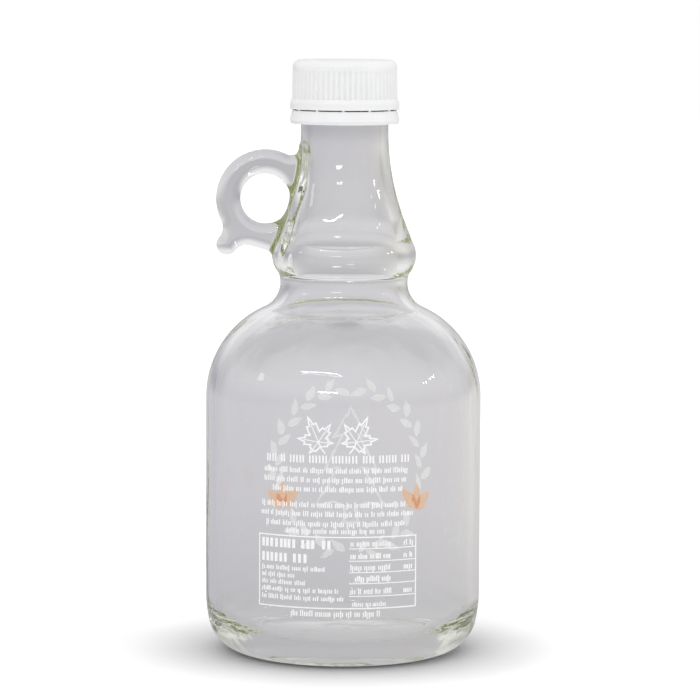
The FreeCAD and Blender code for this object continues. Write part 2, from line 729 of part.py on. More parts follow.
def make_cap():
    """Skirt, top plate and tamper band turned as one, then the slit's arcs and the ribs' gaps cut."""
    body = doc.addObject("PartDesign::Body", "Cap")
    body.Label = "cap"

    section = new_sketch(body, "CapSection", "XZ_Plane")
    draw_cap(section)
    turned = revolve(body, "Revolution", "CapTurned", section)

    slit_sketch = new_sketch(body, "SlitSection", "XZ_Plane")
    draw_slit(slit_sketch)
    slit = revolve(body, "Groove", "Slit", slit_sketch)
    slit.setExpression("Angle", in_full("slit_turn"))
    doc.recompute()
    check_cut(turned, slit)
    slits = ring_of(body, "Slits", slit, "bridge_count")

    gap_sketch = new_sketch(body, "RibGapSection", "XY_Plane", "rib_base")
    circle = Part.Circle(FreeCAD.Vector(size("rib_centre"), 0, 0), UPRIGHT, size("rib_gap_radius"))
    gap_sketch.addGeometry(circle, False)
    tie = Outline(gap_sketch)
    tie.rule("PointOnObject", 0, CENTRE, -1)
    tie.across(0, CENTRE, "rib_centre")
    tie.radius(0, "rib_gap_radius")
    gap = body.newObject("PartDesign::Pocket", "RibGap")
    gap.Profile = gap_sketch
    gap.Reversed = True
    gap.setExpression("Length", in_full("rib_length"))
    gap_sketch.Visibility = False
    doc.recompute()
    check_cut(slits, gap)
    ring_of(body, "RibGaps", gap, "rib_count")
    return body


# ---------------------------------------------------------------- checks and files


def check_document():
    for item in doc.Objects:
        if {"Invalid", "Error"} & set(item.State):
            raise RuntimeError(f"{item.Name} is {item.State}")
    for item in doc.findObjects("Sketcher::SketchObject"):
        if item.solve() != 0:
            raise RuntimeError(f"{item.Name} has rules that clash")


def write(body):
    shape = body.Shape
    if shape.isNull() or not shape.isValid() or len(shape.Solids) != 1:
        raise RuntimeError(f"{body.Label} is not one sound solid")
    shape.exportStep(f"parts/{body.Label}.step")


def main():
    os.makedirs("parts", exist_ok=True)
    bodies = [make_jug(), make_cap()]
    doc.recompute()
    check_document()
    for body in bodies:
        write(body)


main()
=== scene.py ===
"""A clear glass syrup jug with white and orange print and a white screw cap, in plain studio light.

Metres, in the CAD model's frame: the jug's axis is +Z, its front faces -Y and its finger loop is on
the -X side. The sizes of the glass below are in millimetres, as on its drawing.
"""
import math
import random
from typing import NamedTuple

import bpy
import numpy as np
from mathutils import Matrix, Vector


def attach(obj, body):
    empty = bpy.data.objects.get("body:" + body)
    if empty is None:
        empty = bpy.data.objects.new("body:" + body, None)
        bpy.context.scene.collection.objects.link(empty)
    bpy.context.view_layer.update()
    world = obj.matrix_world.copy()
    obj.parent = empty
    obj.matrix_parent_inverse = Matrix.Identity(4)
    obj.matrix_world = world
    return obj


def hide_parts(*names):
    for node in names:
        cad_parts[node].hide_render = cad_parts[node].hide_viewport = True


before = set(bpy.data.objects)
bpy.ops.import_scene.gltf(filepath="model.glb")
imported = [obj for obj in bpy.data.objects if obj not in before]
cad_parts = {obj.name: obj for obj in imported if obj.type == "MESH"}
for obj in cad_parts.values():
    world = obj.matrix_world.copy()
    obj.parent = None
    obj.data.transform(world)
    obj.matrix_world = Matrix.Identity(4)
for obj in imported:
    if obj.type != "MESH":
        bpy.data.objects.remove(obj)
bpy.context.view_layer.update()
MM = 0.001
random_source = random.Random(7)
# Lengths and shares below this count as nothing.
TINY = 1e-9

# ---------------------------------------------------------------- the glass: sizes in mm

BODY_R = 43.0
WALL = 3.0
BEARING_OUT = 30.4
BEARING_IN = 26.8
HEEL_R = 11.8
SWEEP_R = 40.0
PUSH_UP = 2.4
BASE_THICK = 4.8
FLOOR_CROWN = 120.0
FLOOR_CORNER = 13.0
SHOULDER_R = 30.5
WAIST_Z = 115.65
WAIST_R = 8.6
NECK_R = 13.65
WAIST_STEP = 6.25
COLLAR_Z = 124.1
COLLAR_R = 8.5
COLLAR_STEP = 8.85
CREASE_R = 1.2
CREASE_RISE = 4.2
FLARE_SLOPE = 21.0
FLARE_R = 78.6
NECK_LENGTH = 3.2
BEAD_STEP = 1.3
BEAD_LAND = 1.0
FINISH_STEP = 0.45
FINISH_HEIGHT = 17.05
RIM_ROUND = 1.1
BORE_R = 10.75
BORE_LENGTH = 25.0
BORE_FLARE = 70.0
THROAT_R = 45.0
HOLE_R = 7.8
LOOP_R = 15.3
LOOP_X = -24.6
LOOP_Z = 141.65
LOOP_HALF = 4.3
LOOP_ROUND = 2.9
TOP_WEB = 3.0
FOOT_SLOPE = 16.0
SPUR_TURN = 230.0
SPUR_REACH = 18.7
SPUR_TIP = 3.2
SPUR_BLEND = 5.0
ROOT_R = 8.65
# The loop melts into the neck over a hollow of this radius.
MELT = 1.5
# The glass has this share of its full girth, so that the ink on it is inside the CAD box.
GIRTH = 0.9994

# ---------------------------------------------------------------- the glass: its mesh, in mm

# The loop is looked at only this near to the middle of its hole. Elsewhere it counts as FAR away.
LOOP_MIDDLE = np.array([LOOP_X, 0.0, LOOP_Z])
LOOP_REACH = 24.0
FAR = 100.0
# Points of the CAD mesh that agree to this many decimals are one.
WELD_DECIMALS = 3
# Points are laid on the surface in rounds, and move by this at most in each.
SETTLE_STEP = 1.0
CAD_SETTLE_ROUNDS = 4
CUT_SETTLE_ROUNDS = 3
# A triangle's edge is cut where its middle lies further than COARSEST from the true surface, unless it
# is short already. Where the loop melts into the neck, each edge over BAND_EDGE is cut too.
COARSEST = 0.008
SHORTEST = 0.25
BAND_EDGE = 0.6
MELT_REACH = MELT * 1.2
MAX_ROUNDS = 6
# A corner's normal is looked up this share of the way to its triangle's middle, so that where two
# surfaces meet at an edge, each triangle asks its own. Where the answer and the triangle's own
# direction disagree, their cosine being under SQUARE_ENOUGH, the triangle's own is taken.
PROBE_SHARE = 0.01
SQUARE_ENOUGH = 0.7
SLIVER = 1e-12


def polar(centre, radius, degrees):
    turn = math.radians(degrees)
    return (centre[0] + radius * math.cos(turn), centre[1] + radius * math.sin(turn))


def bearing(origin, target):
    return math.degrees(math.atan2(target[1] - origin[1], target[0] - origin[0]))


def meet(centre_a, radius_a, centre_b, radius_b, side):
    """Where two circles cross, on the left of the way from a to b if side is +1."""
    gap = math.dist(centre_a, centre_b)
    along = (gap ** 2 + radius_a ** 2 - radius_b ** 2) / (2 * gap)
    across = math.sqrt(radius_a ** 2 - along ** 2)
    heading = bearing(centre_a, centre_b)
    return polar(polar(centre_a, along, heading), side * across, heading + 90)


class Contour:
    """An outline of lines and arcs, with the glass on its left unless flipped."""

    def __init__(self, flipped=False):
        self.pieces = []
        self.side = -1.0 if flipped else 1.0

    def line(self, start, end):
        self.pieces.append(("line", np.array(start, float), np.array(end, float)))

    def arc(self, centre, radius, begin, end):
        """begin and end are in degrees. An end below begin runs clockwise."""
        self.pieces.append(("arc", np.array(centre, float), radius, begin, end))

    def nearest(self, points):
        """Signed distance of each point from the outline, and the direction away from the glass."""
        best = np.full(len(points), np.inf)
        square = np.zeros(len(points))
        signed = np.zeros(len(points))
        normals = np.zeros((len(points), 2))
        for piece in self.pieces:
            foot, normal = self._foot(piece, points)
            apart = points - foot
            distance = np.hypot(apart[:, 0], apart[:, 1])
            height = (apart * normal).sum(1)
            closer = distance < best - TINY
            # At a corner the piece that faces the point more squarely decides the side.
            level = (np.abs(distance - best) <= TINY) & (np.abs(height) > square)
            take = closer | level
            best[take] = distance[take]
            square[take] = np.abs(height)[take]
            signed[take] = (np.sign(height) * distance)[take]
            normals[take] = normal[take]
        return signed, normals

    def _foot(self, piece, points):
        if piece[0] == "line":
            _, start, end = piece
            along = end - start
            share = np.clip((points - start) @ along / (along @ along), 0, 1)
            foot = start + share[:, None] * along
            right = np.array([along[1], -along[0]]) / np.linalg.norm(along)
            return foot, np.broadcast_to(self.side * right, points.shape)
        _, centre, radius, begin, end = piece
        low, high = sorted((begin, end))
        turn = np.degrees(np.arctan2(points[:, 1] - centre[1], points[:, 0] - centre[0]))
        middle = (low + high) / 2
        turn = middle + (turn - middle + 180) % 360 - 180
        turn = np.radians(np.clip(turn, low, high))
        spoke = np.stack([np.cos(turn), np.sin(turn)], 1)
        sense = 1.0 if end > begin else -1.0
        return centre + radius * spoke, self.side * sense * spoke


def outside_contour():
    """Half section of the jug's outside, from the underside up to the rim."""
    dome_r = (PUSH_UP ** 2 + BEARING_IN ** 2) / (2 * PUSH_UP)
    dome = (0, PUSH_UP - dome_r)
    heel = (BEARING_OUT, HEEL_R)
    sweep_x = BODY_R - SWEEP_R
    sweep = (sweep_x, HEEL_R + math.sqrt((SWEEP_R - HEEL_R) ** 2 - (heel[0] - sweep_x) ** 2))
    heel_end = bearing(sweep, heel)
    waist = (NECK_R + WAIST_STEP + WAIST_R, WAIST_Z)
    shoulder_x = BODY_R - SHOULDER_R
    apart = SHOULDER_R + WAIST_R
    shoulder = (shoulder_x, WAIST_Z - math.sqrt(apart ** 2 - (waist[0] - shoulder_x) ** 2))
    shoulder_end = bearing(shoulder, waist)
    collar = (NECK_R + COLLAR_STEP - COLLAR_R, COLLAR_Z)
    low_crease = meet(waist, WAIST_R - CREASE_R, collar, COLLAR_R + CREASE_R, 1)
    crease_z = COLLAR_Z + CREASE_RISE
    crease_x = collar[0] + math.sqrt(COLLAR_R ** 2 - CREASE_RISE ** 2)
    lean = math.radians(FLARE_SLOPE)
    flare_x = NECK_R + FLARE_R
    flank = (crease_x - (flare_x - FLARE_R * math.cos(lean))) / math.tan(lean)
    flare = (flare_x, crease_z + flank + FLARE_R * math.sin(lean))
    flare_foot = polar(flare, FLARE_R, 180 + FLARE_SLOPE)
    # The upper crease's middle lies its own radius outside the flank, on the collar's far circle.
    flank_turn = 90 + FLARE_SLOPE
    turn = math.radians(bearing(collar, flare_foot) - flank_turn)
    beside = -math.dist(collar, flare_foot) * math.sin(turn) + CREASE_R
    ahead = math.sqrt((COLLAR_R + CREASE_R) ** 2 - beside ** 2)
    high_crease = polar(polar(collar, beside, flank_turn - 90), ahead, flank_turn)
    flank_foot = polar(high_crease, CREASE_R, 180 + FLARE_SLOPE)
    bead_z = flare[1] + NECK_LENGTH
    bead_r = NECK_R + BEAD_STEP
    finish_r = NECK_R + FINISH_STEP
    land_z = bead_z + BEAD_LAND
    rim_z = bead_z + FINISH_HEIGHT

    edge = Contour()
    edge.arc(dome, dome_r, 90, bearing(dome, (BEARING_IN, 0)))
    edge.line((BEARING_IN, 0), (BEARING_OUT, 0))
    edge.arc(heel, HEEL_R, -90, heel_end)
    edge.arc(sweep, SWEEP_R, heel_end, 0)
    edge.line((BODY_R, sweep[1]), (BODY_R, shoulder[1]))
    edge.arc(shoulder, SHOULDER_R, 0, shoulder_end)
    waist_end = bearing(waist, low_crease) % 360
    edge.arc(waist, WAIST_R, shoulder_end + 180, waist_end)
    edge.arc(low_crease, CREASE_R, waist_end, bearing(low_crease, collar) % 360)
    collar_end = bearing(collar, high_crease)
    edge.arc(collar, COLLAR_R, bearing(collar, low_crease), collar_end)
    edge.arc(high_crease, CREASE_R, collar_end + 180, 180 + FLARE_SLOPE)
    edge.line(flank_foot, flare_foot)
    edge.arc(flare, FLARE_R, 180 + FLARE_SLOPE, 180)
    edge.line((NECK_R, flare[1]), (NECK_R, bead_z))
    edge.line((NECK_R, bead_z), (bead_r, bead_z))
    edge.line((bead_r, bead_z), (bead_r, land_z))
    edge.line((bead_r, land_z), (finish_r, land_z + bead_r - finish_r))
    edge.line((finish_r, land_z + bead_r - finish_r), (finish_r, rim_z - RIM_ROUND))
    edge.arc((finish_r - RIM_ROUND, rim_z - RIM_ROUND), RIM_ROUND, 0, 90)
    edge.line((finish_r - RIM_ROUND, rim_z), (0, rim_z))
    return edge, rim_z


def inside_contour(rim_z):
    """Half section of the hollow, from the crowned floor up through the mouth."""
    floor = (0, PUSH_UP + BASE_THICK - FLOOR_CROWN)
    wall_x = BODY_R - WALL
    corner_x = wall_x - FLOOR_CORNER
    corner_z = floor[1] + math.sqrt((FLOOR_CROWN + FLOOR_CORNER) ** 2 - corner_x ** 2)
    corner = (corner_x, corner_z)
    floor_end = bearing(floor, corner)
    waist = (NECK_R + WAIST_STEP + WAIST_R, WAIST_Z)
    waist_r = WAIST_R + WALL
    shoulder_r = SHOULDER_R - WALL
    shoulder_x = wall_x - shoulder_r
    apart = shoulder_r + waist_r
    shoulder = (shoulder_x, WAIST_Z - math.sqrt(apart ** 2 - (waist[0] - shoulder_x) ** 2))
    shoulder_end = bearing(shoulder, waist)
    flare = (BORE_R + BORE_FLARE, rim_z - BORE_LENGTH)
    throat = meet(waist, waist_r + THROAT_R, flare, BORE_FLARE + THROAT_R, 1)
    waist_end = bearing(waist, throat) % 360
    throat_end = bearing(throat, flare)

    edge = Contour(flipped=True)
    edge.arc(floor, FLOOR_CROWN, 90, floor_end)
    edge.arc(corner, FLOOR_CORNER, floor_end - 180, 0)
    edge.line((wall_x, corner_z), (wall_x, shoulder[1]))
    edge.arc(shoulder, shoulder_r, 0, shoulder_end)
    edge.arc(waist, waist_r, shoulder_end + 180, waist_end)
    edge.arc(throat, THROAT_R, waist_end - 180, throat_end)
    edge.arc(flare, BORE_FLARE, throat_end + 180, 180)
    edge.line((BORE_R, flare[1]), (BORE_R, rim_z - RIM_ROUND))
    edge.arc((BORE_R + RIM_ROUND, rim_z - RIM_ROUND), RIM_ROUND, 180, 90)
    return edge


def loop_contours():
    """Side view of the finger loop with its spur, and its hole."""
    middle = (LOOP_X, LOOP_Z)
    tip = polar(middle, SPUR_REACH, SPUR_TURN)
    above = meet(middle, LOOP_R + SPUR_BLEND, tip, SPUR_TIP + SPUR_BLEND, -1)
    graze = polar(middle, LOOP_R + SPUR_BLEND, -90 - FOOT_SLOPE)
    turn = math.radians(bearing(middle, tip) + FOOT_SLOPE)
    along = math.dist(middle, tip) * math.cos(turn)
    out = math.dist(middle, tip) * math.cos(turn + math.pi / 2)
    reach = math.sqrt((SPUR_TIP + SPUR_BLEND) ** 2 - (LOOP_R + SPUR_BLEND - out) ** 2)
    below = polar(graze, along + reach, -FOOT_SLOPE)
    foot = polar(below, SPUR_BLEND, 90 - FOOT_SLOPE)
    root_x = -ROOT_R
    fall = math.tan(math.radians(FOOT_SLOPE))
    foot_end = (root_x, foot[1] - (root_x - foot[0]) * fall)
    web_x = -NECK_R - TOP_WEB
    web_z = LOOP_Z + math.sqrt((LOOP_R + TOP_WEB) ** 2 - (web_x - LOOP_X) ** 2)
    web = (web_x, web_z)

    edge = Contour()
    edge.line((root_x, web_z), (-NECK_R, web_z))
    edge.arc(web, TOP_WEB, 0, bearing(web, middle))
    edge.arc(middle, LOOP_R, bearing(middle, web), bearing(middle, above) % 360)
    edge.arc(above, SPUR_BLEND, bearing(above, middle), bearing(above, tip))
    edge.arc(tip, SPUR_TIP, bearing(tip, above) % 360, bearing(tip, below) % 360)
    edge.arc(below, SPUR_BLEND, bearing(below, tip), bearing(below, foot))
    edge.line(foot, foot_end)
    edge.line(foot_end, (root_x, web_z))
    hole = Contour(flipped=True)
    hole.arc(middle, HOLE_R, 0, 360)
    return edge, hole


OUTSIDE, RIM_Z = outside_contour()
INSIDE = inside_contour(RIM_Z)
LOOP, HOLE = loop_contours()


def turned(contour, points):
    """Distance and direction away from a turned surface."""
    r = np.hypot(points[:, 0], points[:, 1])
    apart, flat = contour.nearest(np.stack([r, points[:, 2]], 1))
    spoke = points[:, :2] / np.maximum(r, TINY)[:, None]
    return apart, np.column_stack([spoke * flat[:, :1], flat[:, 1]])


def looped(points):
    """Distance and direction away from the finger loop, a slab with rounded edges."""
    side_view = points[:, [0, 2]]
    rim, rim_normal = LOOP.nearest(side_view)
    bore, bore_normal = HOLE.nearest(side_view)
    inner = bore > rim
    rim = np.where(inner, bore, rim)
    rim_normal = np.where(inner[:, None], bore_normal, rim_normal)
    q = np.stack([rim + LOOP_ROUND, np.abs(points[:, 1]) - LOOP_HALF + LOOP_ROUND], 1)
    past = np.maximum(q, 0)
    length = np.hypot(past[:, 0], past[:, 1])
    apart = np.minimum(q.max(1), 0) + length - LOOP_ROUND
    share = np.where(
        (length > 0)[:, None],
        past / np.maximum(length, TINY)[:, None],
        np.stack([q[:, 0] > q[:, 1], q[:, 0] <= q[:, 1]], 1).astype(float),
    )
    flat = np.sign(points[:, 1]) * share[:, 1]
    return apart, np.column_stack([rim_normal[:, 0] * share[:, 0], flat, rim_normal[:, 1] * share[:, 0]])


def outer_skin(points):
    """The turned outside and the loop, melted together over a hollow of radius MELT."""
    a, normal_a = turned(OUTSIDE, points)
    b = np.full(len(points), FAR)
    normal_b = np.zeros((len(points), 3))
    near = np.abs(points - LOOP_MIDDLE).max(1) < LOOP_REACH
    b[near], normal_b[near] = looped(points[near])
    u = np.maximum(MELT - a, 0)
    v = np.maximum(MELT - b, 0)
    length = np.hypot(u, v)
    apart = np.maximum(MELT, np.minimum(a, b)) - length
    both = (u > 0) & (v > 0)
    mixed = (u[:, None] * normal_a + v[:, None] * normal_b) / np.maximum(length, TINY)[:, None]
    normal = np.where(both[:, None], mixed, np.where((a < b)[:, None], normal_a, normal_b))
    return apart, normal / np.linalg.norm(normal, axis=1)[:, None]


def inner_skin(points):
    return turned(INSIDE, points)


def skin(points, inner):
    """Distance and normal of the glass at points of its outer or inner surface."""
    apart = np.empty(len(points))
    normal = np.empty((len(points), 3))
    for mask, surface in ((~inner, outer_skin), (inner, inner_skin)):
        if mask.any():
            apart[mask], normal[mask] = surface(points[mask])
    return apart, normal


def settle(points, inner, rounds):
    """The points, laid on the outer or inner surface."""
    for _ in range(rounds):
        apart, normal = skin(points, inner)
        points = points - np.clip(apart, -SETTLE_STEP, SETTLE_STEP)[:, None] * normal
    return points


def pair_key(a, b):
    return (a, b) if a < b else (b, a)


def split_triangles(tris, keys):
    """Cuts each triangle at the middles of its cut edges, and marks the new ones.

    keys has a middle for each pair of points that is cut, so neighbours cut a shared edge alike.
    """
    out, fresh = [], []
    for a, b, c in tris.tolist():
        cuts = [keys.get(pair_key(a, b)), keys.get(pair_key(b, c)), keys.get(pair_key(c, a))]
        count = sum(k is not None for k in cuts)
        if count == 0:
            out.append((a, b, c))
            fresh.append(False)
            continue
        # Turned so that the first edge is cut, and with two cuts, the second too.
        while cuts[0] is None or (count == 2 and cuts[1] is None):
            a, b, c = b, c, a
            cuts = cuts[1:] + cuts[:1]
        ab, bc, ca = cuts
        if count == 3:
            new = [(a, ab, ca), (ab, b, bc), (ca, bc, c), (ab, bc, ca)]
        elif count == 2:
            new = [(ab, b, bc), (a, ab, bc), (a, bc, c)]
        else:
            new = [(a, ab, c), (ab, b, c)]
        out += new
        fresh += [True] * len(new)
    return np.array(out), np.array(fresh)


def cad_glass():
    """Points in mm and triangles of the CAD glass, with its doubled points joined."""
    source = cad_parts["jug"].data
    co = np.empty(len(source.vertices) * 3)
    source.vertices.foreach_get("co", co)
    co = co.reshape(-1, 3) / MM
    _, keep, index = np.unique(np.round(co, WELD_DECIMALS), axis=0, return_index=True, return_inverse=True)
    source.calc_loop_triangles()
    tris = np.empty(len(source.loop_triangles) * 3, int)
    source.loop_triangles.foreach_get("vertices", tris)
    tris = index.reshape(-1)[tris].reshape(-1, 3)
    whole = (tris[:, 0] != tris[:, 1]) & (tris[:, 1] != tris[:, 2]) & (tris[:, 2] != tris[:, 0])
    return co[keep], tris[whole]


def in_melt(points):
    """True where both the turned outside and the loop are close by, so that they melt together."""
    near = np.abs(points - LOOP_MIDDLE).max(1) < LOOP_REACH
    near[near] = np.abs(turned(OUTSIDE, points[near])[0]) < MELT_REACH
    near[near] = np.abs(looped(points[near])[0]) < MELT_REACH
    return near


def refined_glass():
    """The CAD glass with its triangles cut finer and every point laid on the true surface."""
    points, tris = cad_glass()
    inner = np.abs(inner_skin(points)[0]) < np.abs(outer_skin(points)[0])
    points = settle(points, inner, CAD_SETTLE_ROUNDS)
    fresh = np.ones(len(tris), bool)
    for _ in range(MAX_ROUNDS):
        look = tris[fresh]
        edges = np.sort(np.concatenate([look[:, [0, 1]], look[:, [1, 2]], look[:, [2, 0]]]), axis=1)
        edges = np.unique(edges, axis=0)
        middle = (points[edges[:, 0]] + points[edges[:, 1]]) / 2
        middle_inner = inner[edges[:, 0]] & inner[edges[:, 1]]
        length = np.linalg.norm(points[edges[:, 0]] - points[edges[:, 1]], axis=1)
        apart = np.abs(skin(middle, middle_inner)[0])
        band = ~middle_inner & (length > BAND_EDGE)
        band[band] = in_melt(middle[band])
        cut = ((apart > COARSEST) & (length > SHORTEST)) | band
        if not cut.any():
            break
        settled = settle(middle[cut], middle_inner[cut], CUT_SETTLE_ROUNDS)
        keys = {pair: len(points) + n for n, pair in enumerate(map(tuple, edges[cut].tolist()))}
        points = np.concatenate([points, settled])
        inner = np.concatenate([inner, middle_inner[cut]])
        tris, fresh = split_triangles(tris, keys)
    return points, inner, tris


def make_glass(material):
    points, inner, tris = refined_glass()
    corners = points[tris]
    middle = corners.mean(1)
    tri_inner = inner[tris].all(1)
    normals = np.empty((len(tris), 3, 3))
    for corner in range(3):
        at = corners[:, corner]
        normals[:, corner] = skin(at + PROBE_SHARE * (middle - at), tri_inner)[1]
    flat = np.cross(corners[:, 1] - corners[:, 0], corners[:, 2] - corners[:, 0])
    flat /= np.maximum(np.linalg.norm(flat, axis=1, keepdims=True), SLIVER)
    flat = np.repeat(flat[:, None], 3, axis=1)
    astray = (normals * flat).sum(2) < SQUARE_ENOUGH
    normals[astray] = flat[astray]
    place = points * [GIRTH, GIRTH, 1] * MM
    mesh = bpy.data.meshes.new("jug_glass")
    mesh.from_pydata(place.tolist(), [], tris.tolist())
    mesh.update()
    mesh.shade_smooth()
    mesh.normals_split_custom_set(normals.reshape(-1, 3).tolist())
    mesh.materials.append(material)
    piece = bpy.data.objects.new("jug_glass", mesh)
    bpy.context.scene.collection.objects.link(piece)
    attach(piece, "root")
    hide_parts("jug")


# ---------------------------------------------------------------- node helpers

WHITE = (1.0, 1.0, 1.0)


def grey(value):
    return (value, value, value)


def new_material(name):
    """A material and its empty node tree."""
    material = bpy.data.materials.new(name)
    material.use_nodes = True
    tree = material.node_tree
    tree.nodes.clear()
    return material, tree


def add(tree, kind, links=None, **values):
    """Adds a node. links feed its sockets. values go to its attributes, or to sockets of that name."""
    node = tree.nodes.new(kind)
    for key, value in values.items():
        name = key.replace("_", " ")
        if hasattr(node, key):
            setattr(node, key, value)
        elif name in node.inputs:
            node.inputs[name].default_value = value
        else:
            raise KeyError(f"{kind} has no {key}")
    for name, source in (links or {}).items():
        tree.links.new(source, node.inputs[name])
    return node


def feed(tree, socket, value):
    """Gives a socket a number, a colour or what another node puts out."""
    if isinstance(value, tuple):
        socket.default_value = (*value, 1)
    elif isinstance(value, (int, float)):
        socket.default_value = value
    else:
        tree.links.new(value, socket)


def math_node(tree, operation, first, second):
    node = add(tree, "ShaderNodeMath", operation=operation)
    feed(tree, node.inputs[0], first)
    feed(tree, node.inputs[1], second)
    return node.outputs[0]


def length_of(tree, vector):
    return add(tree, "ShaderNodeVectorMath", {"Vector": vector}, operation="LENGTH").outputs["Value"]


def map_range(tree, value, low, high, **values):
    """How far a value is on its way from low to high, as a share."""
    node = add(tree, "ShaderNodeMapRange", {"Value": value}, From_Min=low, From_Max=high, **values)
    return node.outputs[0]


def ramp(tree, share, stops):
    node = add(tree, "ShaderNodeValToRGB", {"Fac": share})
    elements = node.color_ramp.elements
    while len(elements) < len(stops):
        elements.new(0.5)
    for element, (at, colour) in zip(elements, stops):
        element.position = at
        element.color = (*colour, 1)
    return node.outputs["Color"]


def blend(tree, share, first, second, blend_type="MIX"):
    """Two colours mixed, or put together in another way."""
    node = add(tree, "ShaderNodeMix", data_type="RGBA", blend_type=blend_type)
    # Of this node's sockets, 6 and 7 are its two colours, and 2 is the colour that it puts out.
    for number, value in ((0, share), (6, first), (7, second)):
        feed(tree, node.inputs[number], value)
    return node.outputs[2]


def mixed(tree, share, first, second):
    """Two shaders mixed."""
    node = add(tree, "ShaderNodeMixShader", {"Fac": share})
    tree.links.new(first, node.inputs[1])
    tree.links.new(second, node.inputs[2])
    return node.outputs[0]


def emission(tree, colour, strength=1.0, kind="ShaderNodeEmission"):
    node = add(tree, kind, Strength=strength)
    feed(tree, node.inputs["Color"], colour)
    return node.outputs[0]


def object_place(tree):
    return add(tree, "ShaderNodeTexCoord").outputs["Object"]


def noise(tree, place, **values):
    return add(tree, "ShaderNodeTexNoise", {"Vector": place}, **values).outputs["Fac"]


def drawn_out(tree, place, share):
    """The place with its height counted at this share, which draws a pattern on it out upwards."""
    return add(tree, "ShaderNodeMapping", {"Vector": place}, Scale=(1, 1, share)).outputs["Vector"]


def bumped(tree, height, depth, under=None):
    """The way a surface faces with a bump of this depth in metres, over another bump if there is one."""
    links = {"Height": height} if under is None else {"Height": height, "Normal": under}
    return add(tree, "ShaderNodeBump", links, Strength=1.0, Distance=depth).outputs["Normal"]


# ---------------------------------------------------------------- materials

GLASS_COLOUR = (0.995, 0.995, 0.995, 1)
GLASS_IOR = 1.52
# What the glass lets through where it is thick, and how soon that shows.
GLASS_TINGE = (0.80, 0.83, 0.60, 1)
GLASS_DENSITY = 10.0
ROUGHEST_GLASS = 0.03
# Depths of the bumps in metres. Waves and streaks are drawn out along the jug's axis.
WAVE_DEPTH = 0.00035
WAVE_DRAW = 0.35
STREAK_DEPTH = 0.00006
STREAK_DRAW = 0.10
RIPPLE_DEPTH = 0.000012

PLASTIC_IOR = 1.49
PLASTIC_TONES = [(0.3, (0.83, 0.835, 0.84)), (0.7, (0.87, 0.87, 0.865))]
PLASTIC_GRAIN = 0.000012

INK_IOR = 1.5
INK_GRAIN = 0.000008
# How much of the ink's inner face is lit from outside.
INK_THROUGH = 0.9
WHITE_INK = ((0.91, 0.91, 0.915), (0.95, 0.95, 0.95))
ORANGE_INK = ((0.93, 0.58, 0.37), (0.95, 0.65, 0.45))


def glass_material():
    """Clear pressed glass: waves, upright streaks, fine seeds of roughness, a tinge where it is thick."""
    material, tree = new_material("clear_glass")
    place = object_place(tree)
    waves = noise(tree, drawn_out(tree, place, WAVE_DRAW),
                  Scale=55.0, Detail=1.5, Roughness=0.4, Distortion=0.3)
    streaks = noise(tree, drawn_out(tree, place, STREAK_DRAW), Scale=150.0, Detail=2.0, Roughness=0.5)
    ripples = noise(tree, place, Scale=260.0, Detail=2.0, Roughness=0.5)
    normal = bumped(tree, waves, WAVE_DEPTH)
    normal = bumped(tree, streaks, STREAK_DEPTH, normal)
    normal = bumped(tree, ripples, RIPPLE_DEPTH, normal)
    rough = ramp(tree, ripples, [(0.35, grey(0.0)), (0.8, grey(ROUGHEST_GLASS))])
    shader = add(tree, "ShaderNodeBsdfPrincipled", {"Roughness": rough, "Normal": normal},
                 IOR=GLASS_IOR, Base_Color=GLASS_COLOUR, Transmission_Weight=1.0)
    tinge = add(tree, "ShaderNodeVolumeAbsorption", Density=GLASS_DENSITY, Color=GLASS_TINGE)
    add(tree, "ShaderNodeOutputMaterial", {"Surface": shader.outputs[0], "Volume": tinge.outputs[0]})
    return material


def plastic_material():
    """White moulded polypropylene: satin, a little light inside it, a faint skin and fine scuffs."""
    material, tree = new_material("cap_white_plastic")
    place = object_place(tree)
    grain = noise(tree, place, Scale=1400.0, Detail=3.0)
    cloud = noise(tree, place, Scale=90.0, Detail=2.0)
    links = {
        "Base Color": ramp(tree, cloud, PLASTIC_TONES),
        "Roughness": ramp(tree, cloud, [(0.3, grey(0.30)), (0.75, grey(0.42))]),
        "Normal": bumped(tree, grain, PLASTIC_GRAIN),
    }
    shader = add(tree, "ShaderNodeBsdfPrincipled", links, IOR=PLASTIC_IOR, Subsurface_Weight=0.25,
                 Subsurface_Radius=(1.0, 0.9, 0.8), Subsurface_Scale=0.001)
    add(tree, "ShaderNodeOutputMaterial", {"Surface": shader.outputs[0]})
    return material


def ink_material(name, low, high):
    """Fired ceramic ink: matt, of slightly uneven cover.

    Its inner face, which is seen through the glass, glows with the light that falls on its outer face.
    """
    material, tree = new_material(name)
    cover = noise(tree, object_place(tree), Scale=700.0, Detail=3.0, Roughness=0.6)
    colour = ramp(tree, cover, [(0.3, low), (0.7, high)])
    links = {
        "Base Color": colour,
        "Roughness": ramp(tree, cover, [(0.3, grey(0.45)), (0.7, grey(0.62))]),
        "Normal": bumped(tree, cover, INK_GRAIN),
    }
    outer = add(tree, "ShaderNodeBsdfPrincipled", links, IOR=INK_IOR)
    inner = add(tree, "ShaderNodeBsdfTranslucent", {"Color": colour})
    side = add(tree, "ShaderNodeNewGeometry").outputs["Backfacing"]
    share = math_node(tree, "MULTIPLY", side, INK_THROUGH)
    surface = mixed(tree, share, outer.outputs[0], inner.outputs[0])
    add(tree, "ShaderNodeOutputMaterial", {"Surface": surface})
    return material


# ---------------------------------------------------------------- the print: sizes in mm

INK_R = 42.99
INK_STEP = 1.2
# Where two legs of a stroke meet, its width grows by no more than 1 / MITRE_LIMIT.
MITRE_LIMIT = 0.45


